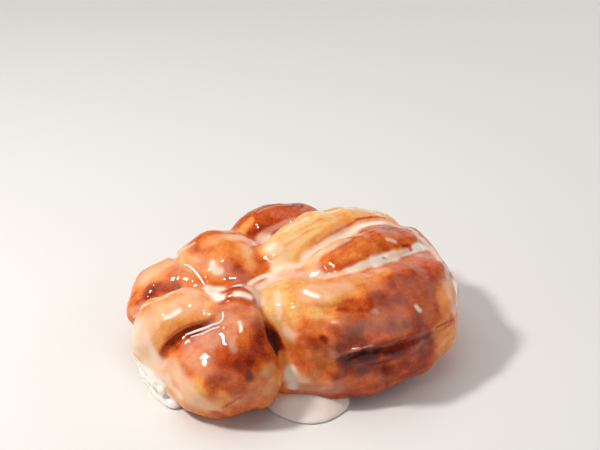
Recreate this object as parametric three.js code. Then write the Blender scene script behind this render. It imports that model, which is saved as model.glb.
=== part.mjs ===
// A glazed apple fritter: one lump of dough, fried until its strands have swollen into each other.
// Millimetres, +Z up. It rests on z = 0 with the origin under the middle of its box, its long way
// along X and its highest folds running back and to the right.
//
// The dough is described as a distance: how far any point is from the skin. Each strand is a curve
// with a thickness, the strands melt into each other where they touch, and the skin is then found
// where the distance is nothing.
import * as THREE from "three";

// Driving dimensions
const BOX_MIDDLE = [0.2, 6]; // X and Y of the box's middle in the strands' own coordinates
const CELL = 3.1; // size of the cells in which the skin is looked for, and so of its triangles
const GRID_FROM = [-67, -49, -1.5 * CELL]; // where those cells begin and end
const GRID_TO = [66, 62, 50];
const STRAND_STEPS = 8; // straight pieces along each strand's curve
const BLEND = 2.5; // how broadly a strand melts into the ones before it, where it says no more
const FOOT_ROUND = 3; // how softly the sides turn under to the flat base
const SWELL_HEIGHT = 1.3; // height of the uneven swelling over all the strands
const RELAX_ROUNDS = 3; // how often the triangles are evened out
const SOFTEN_ROUNDS = 2; // how often their creases are then softened
const SOFTEN_SHARE = 0.5; // and how far each time
const PULL_ROUNDS = 2; // how often a point is moved to bring it onto the skin
const NUDGE = 0.05; // the short way over which a change of distance is measured
const FLAT_BELOW = 0.02; // lower than this, a vertex is part of the flat base

// The strands of dough. Each runs from its start through its middle to its end as a quadratic
// curve, and its radius is given at those three places. flat is its height over its width.
const STRANDS = {
  core: { path: [[-26, -3, 13], [2, 1, 13.5], [32, 5, 13]], radius: [24, 28, 26], flat: 0.78 },
  backBody: { path: [[2, 24, 16], [16, 22, 17], [32, 19, 16]], radius: [20, 24, 23], flat: 0.88, blend: 6 },
  backCurl: { path: [[-17, 42, 20], [-4, 45, 23.5], [11, 38, 25]], radius: [10.5, 13, 10.5] },
  rearBun: { path: [[-34, 20, 19], [-27, 18, 22.5], [-18, 12, 24.5]], radius: [14, 17.5, 14] },
  leftBack: { path: [[-30, 6.5, 24], [-44.5, 12, 20.5], [-51.5, 6, 16.5]], radius: [9.5, 12, 11] },
  leftStrand: { path: [[-23, -17, 27], [-41.5, -14, 22.5], [-47, -14, 14]], radius: [9.5, 13.5, 11.5] },
  leftFoot: { path: [[-44, -15, 11], [-39, -22, 10.5], [-32, -30, 10.5]], radius: [11, 11.5, 11.5], blend: 5 },
  bulbLeft: { path: [[-24, -29, 19], [-27, -30.5, 15.5], [-26.5, -28.5, 11]], radius: [9, 14, 15] },
  bulbRight: { path: [[-18, -14, 31], [-18.5, -25, 25.5], [-18, -30, 16]], radius: [8, 11, 15.5], blend: 5 },
  goldenRidge: { path: [[-6, 9, 28], [8, 24, 31.5], [31, 37, 26.5]], radius: [10, 13, 12], blend: 3 },
  rightBack: { path: [[34, 26, 21], [44, 19, 20.5], [48, 9, 20]], radius: [12.5, 14, 13.5], blend: 5 },
  brownRidge: { path: [[8, -1, 29.5], [25.5, 9.5, 32], [42, 26, 25]], radius: [9, 13.5, 12.5], blend: 3 },
  frontShoulder: { path: [[-1, -12, 26], [22, -13, 25], [47, 4, 23]], radius: [13, 17, 15.5] },
  cheek: { path: [[4, -21, 26], [11, -24, 26.5], [19, -22, 27]], radius: [7, 9, 7], blend: 3 },
  flap: { path: [[16, -21.5, 22], [32, -21.5, 23.5], [48, -10, 24]], radius: [8, 10, 8], blend: 4 },
  lowerShelf: { path: [[0, -21, 10.5], [26, -19.5, 12], [48.5, -4, 12.5]], radius: [12, 13, 11] },
  rightSide: { path: [[40, -14, 14], [50, -8, 18], [52.5, 3, 18]], radius: [8, 9.5, 8], blend: 5 },
  frontFace: { path: [[2, -20, 12], [8, -22, 17], [10, -21, 22]], radius: [11, 10, 9], blend: 4 },
};

// The uneven swelling is a sum of waves: how fast each turns along X, Y and Z, and where it starts.
const SWELLS = [
  { turn: [0.31, 0.12, 0.2], start: 0.4 },
  { turn: [-0.15, 0.33, 0.17], start: 2.1 },
  { turn: [0.22, -0.25, 0.28], start: 4 },
  { turn: [0.1, 0.21, -0.37], start: 1.2 },
  { turn: [0.43, 0.3, -0.08], start: 5.1 },
  { turn: [-0.38, 0.17, 0.31], start: 3.3 },
];

// The twelve edges of a cell, and for each direction along an edge the two directions across it.
const X = [1, 0, 0];
const Y = [0, 1, 0];
const Z = [0, 0, 1];
const EDGE_DIRECTIONS = [
  { along: X, side: Y, up: Z },
  { along: Y, side: Z, up: X },
  { along: Z, side: X, up: Y },
];
const plus = (a, b) => a.map((value, axis) => value + b[axis]);
const CELL_EDGES = EDGE_DIRECTIONS.flatMap(({ along, side, up }) =>
  [[0, 0, 0], side, up, plus(side, up)].map((from) => [from, plus(from, along)]),
);

// The value at t of the quadratic that is first at 0, middle at 1/2 and last at 1.
function quadratic(first, middle, last, t) {
  const pull = 2 * middle - (first + last) / 2;
  return (1 - t) ** 2 * first + 2 * (1 - t) * t * pull + t ** 2 * last;
}

// The smooth curve that starts at the first point, passes through the second half-way along, and
// ends at the third.
function curveThrough(start, middle, end) {
  const ends = new THREE.Vector3().addVectors(start, end);
  const pull = middle.clone().multiplyScalar(2).addScaledVector(ends, -0.5);
  return new THREE.QuadraticBezierCurve3(start, pull, end);
}

// A strand as a row of straight pieces. Heights are divided by the strand's flatness, so that the
// distance to a flattened strand is worked out as the distance to a round one.
function piecesOf({ path, radius, flat = 1, blend = BLEND }) {
  const curve = curveThrough(...path.map(([x, y, z]) => new THREE.Vector3(x, y, z / flat)));
  const beads = [];
  for (let i = 0; i <= STRAND_STEPS; i++) {
    const t = i / STRAND_STEPS;
    beads.push({ middle: curve.getPoint(t), radius: quadratic(...radius, t) });
  }
  const pieces = [];
  for (let i = 0; i < STRAND_STEPS; i++) {
    const run = new THREE.Vector3().subVectors(beads[i + 1].middle, beads[i].middle);
    const widening = beads[i + 1].radius - beads[i].radius;
    pieces.push({ from: beads[i].middle, run, lengthSq: run.lengthSq(), radius: beads[i].radius, widening });
  }
  return { pieces, flat, blend };
}

// Distance from a point to the skin of one strand, negative inside it.
function strandDistance({ pieces, flat }, point) {
  let nearest = Infinity;
  for (const { from, run, lengthSq, radius, widening } of pieces) {
    const dx = point.x - from.x;
    const dy = point.y - from.y;
    const dz = point.z / flat - from.z;
    const along = Math.min(Math.max((dx * run.x + dy * run.y + dz * run.z) / lengthSq, 0), 1);
    const off = Math.sqrt((dx - along * run.x) ** 2 + (dy - along * run.y) ** 2 + (dz - along * run.z) ** 2);
    nearest = Math.min(nearest, off - radius - along * widening);
  }
  return nearest * flat;
}

// The smaller of two distances, rounded over a width where they meet.
function smoothMin(a, b, width) {
  const share = Math.min(Math.max(0.5 + (b - a) / (2 * width), 0), 1);
  return share * a + (1 - share) * b - width * share * (1 - share);
}

// How far the dough swells out at a point.
function swelling(point) {
  let sum = 0;
  for (const { turn, start } of SWELLS) {
    sum += Math.sin(turn[0] * point.x + turn[1] * point.y + turn[2] * point.z + start);
  }
  return (SWELL_HEIGHT * sum) / SWELLS.length;
}

const strands = Object.values(STRANDS).map(piecesOf);

// Distance from a point to the fritter's skin: all strands melted together in order, swollen, and
// cut off flat at z = 0.
function doughDistance(point) {
  let distance = Infinity;
  for (const strand of strands) {
    const next = strandDistance(strand, point);
    distance = distance === Infinity ? next : smoothMin(distance, next, strand.blend);
  }
  return -smoothMin(swelling(point) - distance, point.z, FOOT_ROUND);
}

// Moves a point onto the skin by the shortest way, judged from how the distance changes around it.
function pullOntoSkin(point) {
  for (let round = 0; round < PULL_ROUNDS; round++) {
    const here = doughDistance(point);
    const slope = new THREE.Vector3(
      doughDistance({ x: point.x + NUDGE, y: point.y, z: point.z }) - here,
      doughDistance({ x: point.x, y: point.y + NUDGE, z: point.z }) - here,
      doughDistance({ x: point.x, y: point.y, z: point.z + NUDGE }) - here,
    ).divideScalar(NUDGE);
    point.addScaledVector(slope, -here / slope.lengthSq());
  }
}

// A grid of points around the whole fritter, with the distance to the skin at each.
function distanceGrid() {
  const counts = GRID_FROM.map((from, axis) => Math.ceil((GRID_TO[axis] - from) / CELL) + 1);
  const pointAt = (i, j, k) =>
    new THREE.Vector3(GRID_FROM[0] + i * CELL, GRID_FROM[1] + j * CELL, GRID_FROM[2] + k * CELL);
  const indexOf = (i, j, k) => (i * counts[1] + j) * counts[2] + k;
  const distances = new Float64Array(counts[0] * counts[1] * counts[2]);
  forEachCell(counts, (i, j, k) => {
    distances[indexOf(i, j, k)] = doughDistance(pointAt(i, j, k));
  });
  return { counts, pointAt, indexOf, distances };
}

// Calls a function for every place in a grid.
function forEachCell(counts, visit) {
  for (let i = 0; i < counts[0]; i++) {
    for (let j = 0; j < counts[1]; j++) {
      for (let k = 0; k < counts[2]; k++) visit(i, j, k);
    }
  }
}

// The middle of the places where the skin crosses a cell's edges, or null where it crosses none.
function crossingMiddle({ pointAt, indexOf, distances }, i, j, k) {
  const middle = new THREE.Vector3();
  let crossings = 0;
  for (const [from, to] of CELL_EDGES) {
    const near = distances[indexOf(i + from[0], j + from[1], k + from[2])];
    const far = distances[indexOf(i + to[0], j + to[1], k + to[2])];
    if (near < 0 === far < 0) continue;
    const start = pointAt(i + from[0], j + from[1], k + from[2]);
    const end = pointAt(i + to[0], j + to[1], k + to[2]);
    middle.add(start.lerp(end, near / (near - far)));
    crossings += 1;
  }
  return crossings ? middle.divideScalar(crossings) : null;
}

// The skin as four-sided patches: a vertex in each cell that the skin passes through, and a patch
// around each grid edge that it crosses, joining the four cells there.
function skinNet() {
  const grid = distanceGrid();
  const { counts, indexOf, distances } = grid;
  const points = [];
  const vertexOf = new Map();
  forEachCell(counts.map((count) => count - 1), (i, j, k) => {
    const middle = crossingMiddle(grid, i, j, k);
    if (!middle) return;
    vertexOf.set(indexOf(i, j, k), points.length);
    points.push(middle);
  });
  const patches = [];
  forEachCell(counts.map((count) => count - 1), (i, j, k) => {
    const here = distances[indexOf(i, j, k)] < 0;
    for (const { along, side, up } of EDGE_DIRECTIONS) {
      const there = distances[indexOf(i + along[0], j + along[1], k + along[2])] < 0;
      if (here === there) continue;
      const cells = [[0, 0, 0], side, plus(side, up), up];
      const patch = cells.map((back) => vertexOf.get(indexOf(i - back[0], j - back[1], k - back[2])));
      patches.push(here ? patch : patch.reverse());
    }
  });
  return { points, patches };
}

// Each vertex moved a share of the way to the middle of its neighbours.
function smoothed(points, patches, share) {
  const sums = points.map(() => ({ middle: new THREE.Vector3(), count: 0 }));
  for (const patch of patches) {
    patch.forEach((vertex, corner) => {
      sums[vertex].middle.add(points[patch[(corner + 1) % 4]]);
      sums[vertex].count += 1;
    });
  }
  return sums.map(({ middle, count }, i) => middle.divideScalar(count).lerp(points[i], 1 - share));
}

// Evens out the patches by smoothing them and pulling them back onto the skin, several times over,
// and then softens the creases that are too narrow for patches of this size.
function settle(points, patches) {
  let settled = points;
  for (let round = 0; round < RELAX_ROUNDS; round++) {
    settled = smoothed(settled, patches, 1);
    settled.forEach(pullOntoSkin);
  }
  for (let round = 0; round < SOFTEN_ROUNDS; round++) settled = smoothed(settled, patches, SOFTEN_SHARE);
  return settled;
}

// Splits a patch into two triangles along its shorter diagonal.
function trianglesOf([a, b, c, d], points) {
  const acrossAC = points[a].distanceTo(points[c]) <= points[b].distanceTo(points[d]);
  return acrossAC ? [a, b, c, a, c, d] : [a, b, d, b, c, d];
}

// The whole fritter as one closed skin.
function fritterGeometry() {
  const { points, patches } = skinNet();
  const settled = settle(points, patches);
  const [middleX, middleY] = BOX_MIDDLE;
  const corners = settled.map(({ x, y, z }) => [x - middleX, y - middleY, z < FLAT_BELOW ? 0 : z]);
  const skin = new THREE.BufferGeometry();
  skin.setAttribute("position", new THREE.Float32BufferAttribute(corners.flat(), 3));
  skin.setIndex(patches.flatMap((patch) => trianglesOf(patch, settled)));
  skin.computeVertexNormals();
  return skin;
}

const friedDough = new THREE.MeshStandardMaterial({ color: 0xb8642f, roughness: 0.3, metalness: 0 });
const fritter = new THREE.Mesh(fritterGeometry(), friedDough);
fritter.name = "fritter";

const group = new THREE.Group();
group.name = "apple_fritter";
group.add(fritter);

export default group;
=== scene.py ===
"""A glazed apple fritter: strands of fried dough under a wet sugar glaze, with a pool of glaze at its foot.

The dough is worked out in millimetres as a distance from the skin, as in the part's own source. This
script melts the same strands together more sharply, adds the small folds, creases and wrinkles, and
finds the skin on fine cells. Each point of it then gets how brown it is baked and how thickly it is
glazed, which the materials turn into colour. Part of that brown is painted shade, laid darker in
creases, under overhangs and on flanks turned from the key light, and part of that glaze is painted
light, white where highlights and rim light fall.
"""

import math

import bpy
import numpy as np
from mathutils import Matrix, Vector


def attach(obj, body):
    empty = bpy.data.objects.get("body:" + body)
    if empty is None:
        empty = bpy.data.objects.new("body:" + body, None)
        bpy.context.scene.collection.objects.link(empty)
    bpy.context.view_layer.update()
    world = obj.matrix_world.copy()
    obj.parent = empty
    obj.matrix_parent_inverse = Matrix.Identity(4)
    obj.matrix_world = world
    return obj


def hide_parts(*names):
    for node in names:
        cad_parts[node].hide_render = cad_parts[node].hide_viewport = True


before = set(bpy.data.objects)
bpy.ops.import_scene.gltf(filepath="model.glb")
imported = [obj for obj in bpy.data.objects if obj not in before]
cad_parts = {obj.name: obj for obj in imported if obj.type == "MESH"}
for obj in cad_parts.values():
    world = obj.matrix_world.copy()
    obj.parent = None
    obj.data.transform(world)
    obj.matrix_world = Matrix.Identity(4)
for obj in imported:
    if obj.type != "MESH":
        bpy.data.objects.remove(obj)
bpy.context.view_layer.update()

MM = 0.001
BOX_MIDDLE = np.array([0.2, 6.0, 0.0])  # the middle of the fritter's box, in the strands' own coordinates
STRAND_STEPS = 8  # straight pieces along each strand's curve
PATH_STEPS = 10  # and along each crease, stroke or thread that lies on the skin
FOOT_ROUND = 3.0  # how softly the sides turn under to the flat base
SWELL_HEIGHT = 1.3  # height of the uneven swelling over all the strands
FAR = 1e3  # a distance that plays no part
STRAND_REACH = 8.0  # how far from a strand its distance is worked out
SMALL_REACH = 3.0  # and from a fold, crease, thread or drop
LONGEST_PULL = 1.5  # how far a point is pulled towards the skin at most
PULLS = 3  # the pulls that bring a path onto the skin

DOUGH_CELL = 0.66  # size of the cells in which the dough's skin is looked for
GLAZE_CELL = 0.5
THREAD_CELL = 0.3
GRID_LOW = np.array([-66.0, -48.0, -1.5])
GRID_HIGH = np.array([66.0, 62.0, 50.0])
AXES = np.eye(3, dtype=int)
CORNERS = [np.array(corner) for corner in np.ndindex(2, 2, 2)]

# The strands of dough, each with its path (start, middle and end), its radius at those places, its
# height over its width, how broadly it melts into the ones before it, and how brown and how thickly
# glazed it is at the same three places: 0 is pale gold or bare, and 1 is darkest or white with glaze.
STRANDS = dict(
    core=dict(path=[(-26, -3, 13), (2, 1, 13.5), (32, 5, 13)], radius=(24, 28, 26), flat=0.78,
              blend=2, brown=(0.5, 0.4, 0.5), glaze=(0.15, 0.2, 0.15)),
    back_body=dict(path=[(2, 24, 16), (16, 22, 17), (32, 19, 16)], radius=(20, 24, 23), flat=0.88,
                   blend=6, brown=(0.5, 0.5, 0.5), glaze=(0.15, 0.15, 0.15)),
    back_curl=dict(path=[(-17, 42, 20), (-4, 45, 23.5), (11, 38, 25)], radius=(10.5, 13, 10.5),
                   blend=2, brown=(0.45, 0.66, 0.7), glaze=(0.05, 0.05, 0.1)),
    rear_bun=dict(path=[(-34, 20, 19), (-27, 18, 22.5), (-18, 12, 24.5)], radius=(14, 17.5, 14),
                  blend=2, brown=(0.4, 0.5, 0.42), glaze=(0.1, 0.06, 0.07)),
    left_back=dict(path=[(-30, 6.5, 24), (-44.5, 12, 20.5), (-51.5, 6, 16.5)], radius=(9.5, 12, 11),
                   blend=2, brown=(0.35, 0.35, 0.45), glaze=(0.15, 0.25, 0.15)),
    left_strand=dict(path=[(-23, -17, 27), (-41.5, -14, 22.5), (-47, -14, 14)], radius=(9.5, 13.5, 11.5),
                     blend=2, brown=(0.35, 0.26, 0.42), glaze=(0.1, 0.1, 0.1)),
    left_foot=dict(path=[(-44, -15, 11), (-39, -22, 10.5), (-32, -30, 10.5)], radius=(11, 11.5, 11.5),
                   blend=5, brown=(0.3, 0.3, 0.3), glaze=(0.15, 0.15, 0.15)),
    bulb_left=dict(path=[(-24, -29, 19), (-27, -30.5, 15.5), (-26.5, -28.5, 11)], radius=(9, 14, 15),
                   blend=2, brown=(0.55, 0.5, 0.4), glaze=(0.05, 0.05, 0.12)),
    bulb_right=dict(path=[(-18, -14, 31), (-18.5, -25, 25.5), (-18, -30, 16)], radius=(8, 11, 15.5),
                    blend=5, brown=(0.66, 0.68, 0.5), glaze=(0.17, 0.06, 0.07)),
    golden_ridge=dict(path=[(-6, 9, 28), (8, 24, 31.5), (31, 37, 26.5)], radius=(10, 13, 12),
                      blend=3, brown=(0.02, 0.08, 0.2), glaze=(0.17, 0.06, 0.1)),
    right_back=dict(path=[(34, 26, 21), (44, 19, 20.5), (48, 9, 20)], radius=(12.5, 14, 13.5),
                    blend=5, brown=(0.5, 0.5, 0.6), glaze=(0.2, 0.2, 0.15)),
    brown_ridge=dict(path=[(8, -1, 29.5), (25.5, 9.5, 32), (42, 26, 25)], radius=(9, 13.5, 12.5),
                     blend=3, brown=(0.5, 0.6, 0.66), glaze=(0.1, 0, 0.05)),
    front_shoulder=dict(path=[(-1, -12, 26), (22, -13, 25), (47, 4, 23)], radius=(13, 17, 15.5),
                        blend=2, brown=(0.08, 0.5, 0.72), glaze=(0.1, 0.1, 0.17)),
    cheek=dict(path=[(4, -21, 26), (11, -24, 26.5), (19, -22, 27)], radius=(7, 9, 7),
               blend=3, brown=(0.5, 0.5, 0.5), glaze=(0.05, 0.03, 0.05)),
    flap=dict(path=[(16, -21.5, 22), (32, -21.5, 23.5), (48, -10, 24)], radius=(8, 10, 8),
              blend=4, brown=(0.9, 0.85, 0.75), glaze=(0.25, 0.2, 0.17)),
    lower_shelf=dict(path=[(0, -21, 10.5), (26, -19.5, 12), (48.5, -4, 12.5)], radius=(12, 13, 11),
                     blend=1.5, brown=(0.5, 0.66, 0.45), glaze=(0.23, 0.12, 0.07)),
    right_side=dict(path=[(40, -14, 14), (50, -8, 18), (52.5, 3, 18)], radius=(8, 9.5, 8),
                    blend=5, brown=(0.5, 0.4, 0.5), glaze=(0.1, 0.05, 0.1)),
    front_face=dict(path=[(2, -20, 12), (8, -22, 17), (10, -21, 22)], radius=(11, 10, 9),
                    blend=4, brown=(0.55, 0.65, 0.7), glaze=(0.25, 0.2, 0.1)),
)

# The uneven swelling is a sum of waves: how fast each turns along X, Y and Z, and where it starts.
SWELLS = [
    ((0.31, 0.12, 0.2), 0.4),
    ((-0.15, 0.33, 0.17), 2.1),
    ((0.22, -0.25, 0.28), 4.0),
    ((0.1, 0.21, -0.37), 1.2),
    ((0.43, 0.3, -0.08), 5.1),
    ((-0.38, 0.17, 0.31), 3.3),
]

# Small folds laid on the strands: path and radius.
FOLDS = dict(
    neck_ring=([(-25, -16, 35.5), (-20, -15.5, 37.3), (-14.5, -17.5, 36.5)], (1.6, 2.2, 1.6)),
    flap_lip=([(19, -31, 24.5), (31, -31.5, 28.5), (47, -19, 26)], (1.0, 1.6, 1.0)),
)
FOLD_BLEND = 2.0

# Creases pressed into the dough: path, half width, and how softly their edges turn in.
GROOVES = dict(
    dimple=([(-24, -13, 38.5), (-20, -11.6, 40), (-15.5, -13.5, 39.5)], 0.9, 1.0),
    neck=([(-24.5, -19, 37.5), (-20, -19.5, 39.2), (-15.5, -21.5, 38.8)], 0.6, 1.2),
    under_brow=([(9, -24, 39), (17, -24, 38.8), (26, -25, 37.5)], 0.5, 2.0),
    bun_crease=([(-46, 30, 22), (-43, 15, 33), (-33, 1, 32)], 1.8, 1.5),
    left_crease=([(-26, -26, 35), (-40, -27, 28), (-47, -30, 18)], 2.4, 0.9),
    left_crease_head=([(-35.5, -25.3, 30.3), (-31, -25.4, 32.2), (-26.5, -24.5, 35.5)], 1.5, 0.8),
    bulb_valley=([(-11.8, -17.8, 35.8), (-9, -24.2, 30.8), (-5.7, -31, 24.5)], 1.8, 1.2),
    under_flap=([(19, -31.5, 22), (31, -32.5, 26.5), (47.5, -19, 24)], 1.6, 1.2),
    flap_end=([(12.8, -33, 30.5), (13, -33.5, 27), (14, -32.5, 22)], 0.7, 1.0),
    right_crease=([(48, -23, 25.5), (54, -15.5, 24), (58.5, -5, 21)], 0.6, 1.0),
    bulb_foot=([(-25, -43.3, 6), (-21.5, -45.6, 10.5), (-18, -46.2, 14.5)], 0.5, 0.8),
    shelf_wrinkle_1=([(-5, -34, 12.5), (4, -35, 11.5), (13, -34.5, 12)], 0.6, 1.2),
    shelf_wrinkle_2=([(-4, -34, 8), (6, -34.5, 7.2), (18, -34, 7.5)], 0.5, 1.2),
)


def bezier(path, steps):
    """Points along the quadratic curve through a path's start, middle and end."""
    start, middle, end = np.array(path, float)
    pull = 2 * middle - (start + end) / 2
    t = np.linspace(0, 1, steps + 1)[:, None]
    return (1 - t) ** 2 * start + 2 * (1 - t) * t * pull + t ** 2 * end


def along_values(values, t):
    """The quadratic through three values at 0, 1/2 and 1."""
    first, middle, last = values
    pull = 2 * middle - (first + last) / 2
    return (1 - t) ** 2 * first + 2 * (1 - t) * t * pull + t ** 2 * last


def curve_distance(points, beads, radius=(0, 0, 0), flat=1.0, reach=SMALL_REACH):
    """How far each point is from a line of beads with a thickness, and how far along the line its
    nearest place is, from 0 to 1. Points further than the reach from the line's box only get FAR."""
    steps = len(beads) - 1
    radii = along_values(radius, np.linspace(0, 1, steps + 1))
    distance = np.full(len(points), FAR)
    place = np.zeros(len(points))
    margin = radii.max() + reach
    chosen = np.all((points > beads.min(0) - margin) & (points < beads.max(0) + margin), axis=1)
    stretch = np.array([1, 1, 1 / flat])
    near = points[chosen] * stretch
    beads = beads * stretch
    best = np.full(len(near), FAR)
    best_place = np.zeros(len(near))
    for i in range(steps):
        run = beads[i + 1] - beads[i]
        offset = near - beads[i]
        share = np.clip(offset @ run / (run @ run + 1e-12), 0, 1)
        gap = np.sqrt(((offset - share[:, None] * run) ** 2).sum(1))
        here = gap - radii[i] - share * (radii[i + 1] - radii[i])
        closer = here < best
        best[closer] = here[closer]
        best_place[closer] = (i + share[closer]) / steps
    distance[chosen] = best * flat
    place[chosen] = best_place
    return distance, place


def strand_distance(points, strand, reach=STRAND_REACH):
    beads = bezier(strand["path"], STRAND_STEPS)
    return curve_distance(points, beads, strand["radius"], strand.get("flat", 1.0), reach)


def smooth_min(a, b, width):
    """The smaller of two distances, rounded over a width where they meet."""
    share = np.clip(0.5 + (b - a) / (2 * width), 0, 1)
    return share * a + (1 - share) * b - width * share * (1 - share)


def smooth_max(a, b, width):
    return -smooth_min(-a, -b, width)


def swelling(points):
    total = sum(np.sin(points @ np.array(turn) + start) for turn, start in SWELLS)
    return SWELL_HEIGHT * total / len(SWELLS)


def strand_union(points, least_blend=0.0):
    """Distance to all the strands melted together, in order."""
    distance = np.full(len(points), FAR)
    for strand in STRANDS.values():
        next_one, _ = strand_distance(points, strand)
        distance = smooth_min(distance, next_one, max(strand["blend"], least_blend))
    return distance


def folded_distance(points):
    """Distance to the swollen strands with the small folds laid on them."""
    distance = strand_union(points)
    for path, radius in FOLDS.values():
        fold, _ = curve_distance(points, bezier(path, STRAND_STEPS), radius)
        distance = smooth_min(distance, fold, FOLD_BLEND)
    return distance - swelling(points)


def slope(distance, points):
    """Distance at each point, and how it changes around it, which points straight out of the skin."""
    nudge = 0.05
    here = distance(points)
    return here, np.stack([distance(points + nudge * axis) - here for axis in AXES], 1) / nudge


def pulled_to_skin(distance, points):
    """The points moved onto the skin, by LONGEST_PULL at most, and the direction straight out of it."""
    here, outward = slope(distance, points)
    steepness = np.linalg.norm(outward, axis=1) + 1e-9
    outward = outward / steepness[:, None]
    pull = np.clip(here / steepness, -LONGEST_PULL, LONGEST_PULL)
    return points - pull[:, None] * outward, outward


def laid_on_skin(distance, paths, sunk=0.0):
    """A row of beads along each path, pulled onto the skin or sunk a little into it."""
    beads = np.concatenate([bezier(path, PATH_STEPS) for path in paths])
    for _ in range(PULLS):
        beads, outward = pulled_to_skin(distance, beads)
    return np.split(beads - sunk * outward, len(paths))


GROOVE_BEADS = laid_on_skin(folded_distance, [path for path, _, _ in GROOVES.values()])
GROOVE_END = 0.3  # half width at a crease's ends, over that at its middle


def grooved_distance(points):
    """Distance to the strands with their folds and creases."""
    distance = folded_distance(points)
    for beads, (_, width, softness) in zip(GROOVE_BEADS, GROOVES.values()):
        radius = (GROOVE_END * width, width, GROOVE_END * width)
        groove, _ = curve_distance(points, beads, radius)
        distance = smooth_max(distance, -groove, softness)
    return distance


def dough_distance(points):
    """Distance to the whole fritter's skin, cut off flat at z = 0."""
    return smooth_max(grooved_distance(points), -points[:, 2], FOOT_ROUND)


# Finding the skin


def grid_distances(distance, low, high, cell):
    """Distances at the points of a grid: exact near the skin, and only the right side of it elsewhere."""
    block = 4  # grid points along each side of the blocks tried first
    near_skin = 0.95 * block * cell  # a bit over half a block's diagonal
    most_at_once = 200000
    counts = [int(math.ceil((high[a] - low[a]) / cell / block)) * block for a in range(3)]
    coarse_axes = [low[a] + cell * (np.arange(0, counts[a], block) + (block - 1) / 2) for a in range(3)]
    coarse_points = np.stack(np.meshgrid(*coarse_axes, indexing="ij"), -1).reshape(-1, 3)
    values = distance(coarse_points).reshape([len(axis) for axis in coarse_axes])
    for axis in range(3):
        values = values.repeat(block, axis)
    near = np.argwhere(np.abs(values) < near_skin)
    points = low + near * cell
    exact = [distance(part) for part in np.array_split(points, len(points) // most_at_once + 1)]
    values[tuple(near.T)] = np.concatenate(exact)
    return values


def crossing_middles(values, cells):
    """The middle of the skin's crossings with each cell's edges, counted in cells."""
    total = np.zeros((len(cells), 3))
    crossings = np.zeros(len(cells))
    for axis in range(3):
        for corner in CORNERS:
            if corner[axis]:
                continue
            start = values[tuple((cells + corner).T)]
            end = values[tuple((cells + corner + AXES[axis]).T)]
            crossed = (start < 0) != (end < 0)
            share = start[crossed] / (start[crossed] - end[crossed])
            total[crossed] += corner + share[:, None] * AXES[axis]
            crossings[crossed] += 1
    return cells + total / crossings[:, None]


def skin_patches(inside, vertex_of):
    """A patch for each grid edge that the skin crosses, joining the four cells around it."""
    patches = []
    for axis in range(3):
        side, up = AXES[(axis + 1) % 3], AXES[(axis + 2) % 3]
        edges = np.argwhere(inside != np.roll(inside, -1, axis))
        edges = edges[((edges > 0) & (edges < vertex_of.shape)).all(1)]
        around = [edges, edges - side, edges - side - up, edges - up]
        patch = np.stack([vertex_of[tuple(cells.T)] for cells in around], 1)
        outward = inside[tuple(edges.T)]
        patch[~outward] = patch[~outward][:, ::-1]
        patches.append(patch)
    return np.concatenate(patches)


def skin_net(values, low, cell):
    """The skin as four-sided patches, with a vertex in each cell that it passes through."""
    inside = values < 0
    shape = np.array(values.shape) - 1
    filled = sum(inside[tuple(map(slice, c, c + shape))].astype(np.int8) for c in CORNERS)
    cells = np.argwhere((filled > 0) & (filled < len(CORNERS)))
    vertex_of = np.full(shape, -1)
    vertex_of[tuple(cells.T)] = np.arange(len(cells))
    return crossing_middles(values, cells) * cell + low, skin_patches(inside, vertex_of)


def find_skin(distance, low, high, cell):
    """Points and patches of the skin, and the direction straight out of it at each point."""
    points, patches = skin_net(grid_distances(distance, low, high, cell), low, cell)
    points, outward = pulled_to_skin(distance, points)
    return points, patches, outward


def lattice_noise(points, size, seed):
    """Smooth noise from -1 to 1 that changes over about size, the same on every run."""
    sides = 32  # the noise repeats after as many sizes
    table = np.random.default_rng(seed).uniform(-1, 1, (sides,) * 3)
    scaled = points / size
    base = np.floor(scaled).astype(int)
    part = scaled - base
    part = part * part * (3 - 2 * part)
    total = np.zeros(len(points))
    for corner in CORNERS:
        weight = np.prod(np.where(corner, part, 1 - part), axis=1)
        total += weight * table[tuple(((base + corner) % sides).T)]
    return total


def noise_sum(points, layers):
    return sum(weight * lattice_noise(points, size, seed) for weight, size, seed in layers)


def smooth_step(low, high, value):
    """0 before low, 1 beyond high, and smooth between them."""
    share = np.clip((value - low) / (high - low), 0, 1)
    return share * share * (3 - 2 * share)


# How the skin is baked and glazed

SHARE_REACH = 12.0  # how far off a strand the skin can belong to it
SHARE_BLEND = 0.9  # how broadly two strands' looks run into each other


def strand_shares(points):
    """How much of each point belongs to each strand, and how far along that strand it is."""
    pairs = [strand_distance(points, strand, SHARE_REACH) for strand in STRANDS.values()]
    gaps, places = map(np.array, zip(*pairs))
    share = np.exp(-(gaps - gaps.min(0)) / SHARE_BLEND)
    return share / share.sum(0), places


def mixed(values_name, shares, places):
    """A value stated along every strand, at each point of the skin."""
    parts = zip(STRANDS.values(), shares, places)
    return sum(share * along_values(strand[values_name], place) for strand, share, place in parts)
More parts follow.
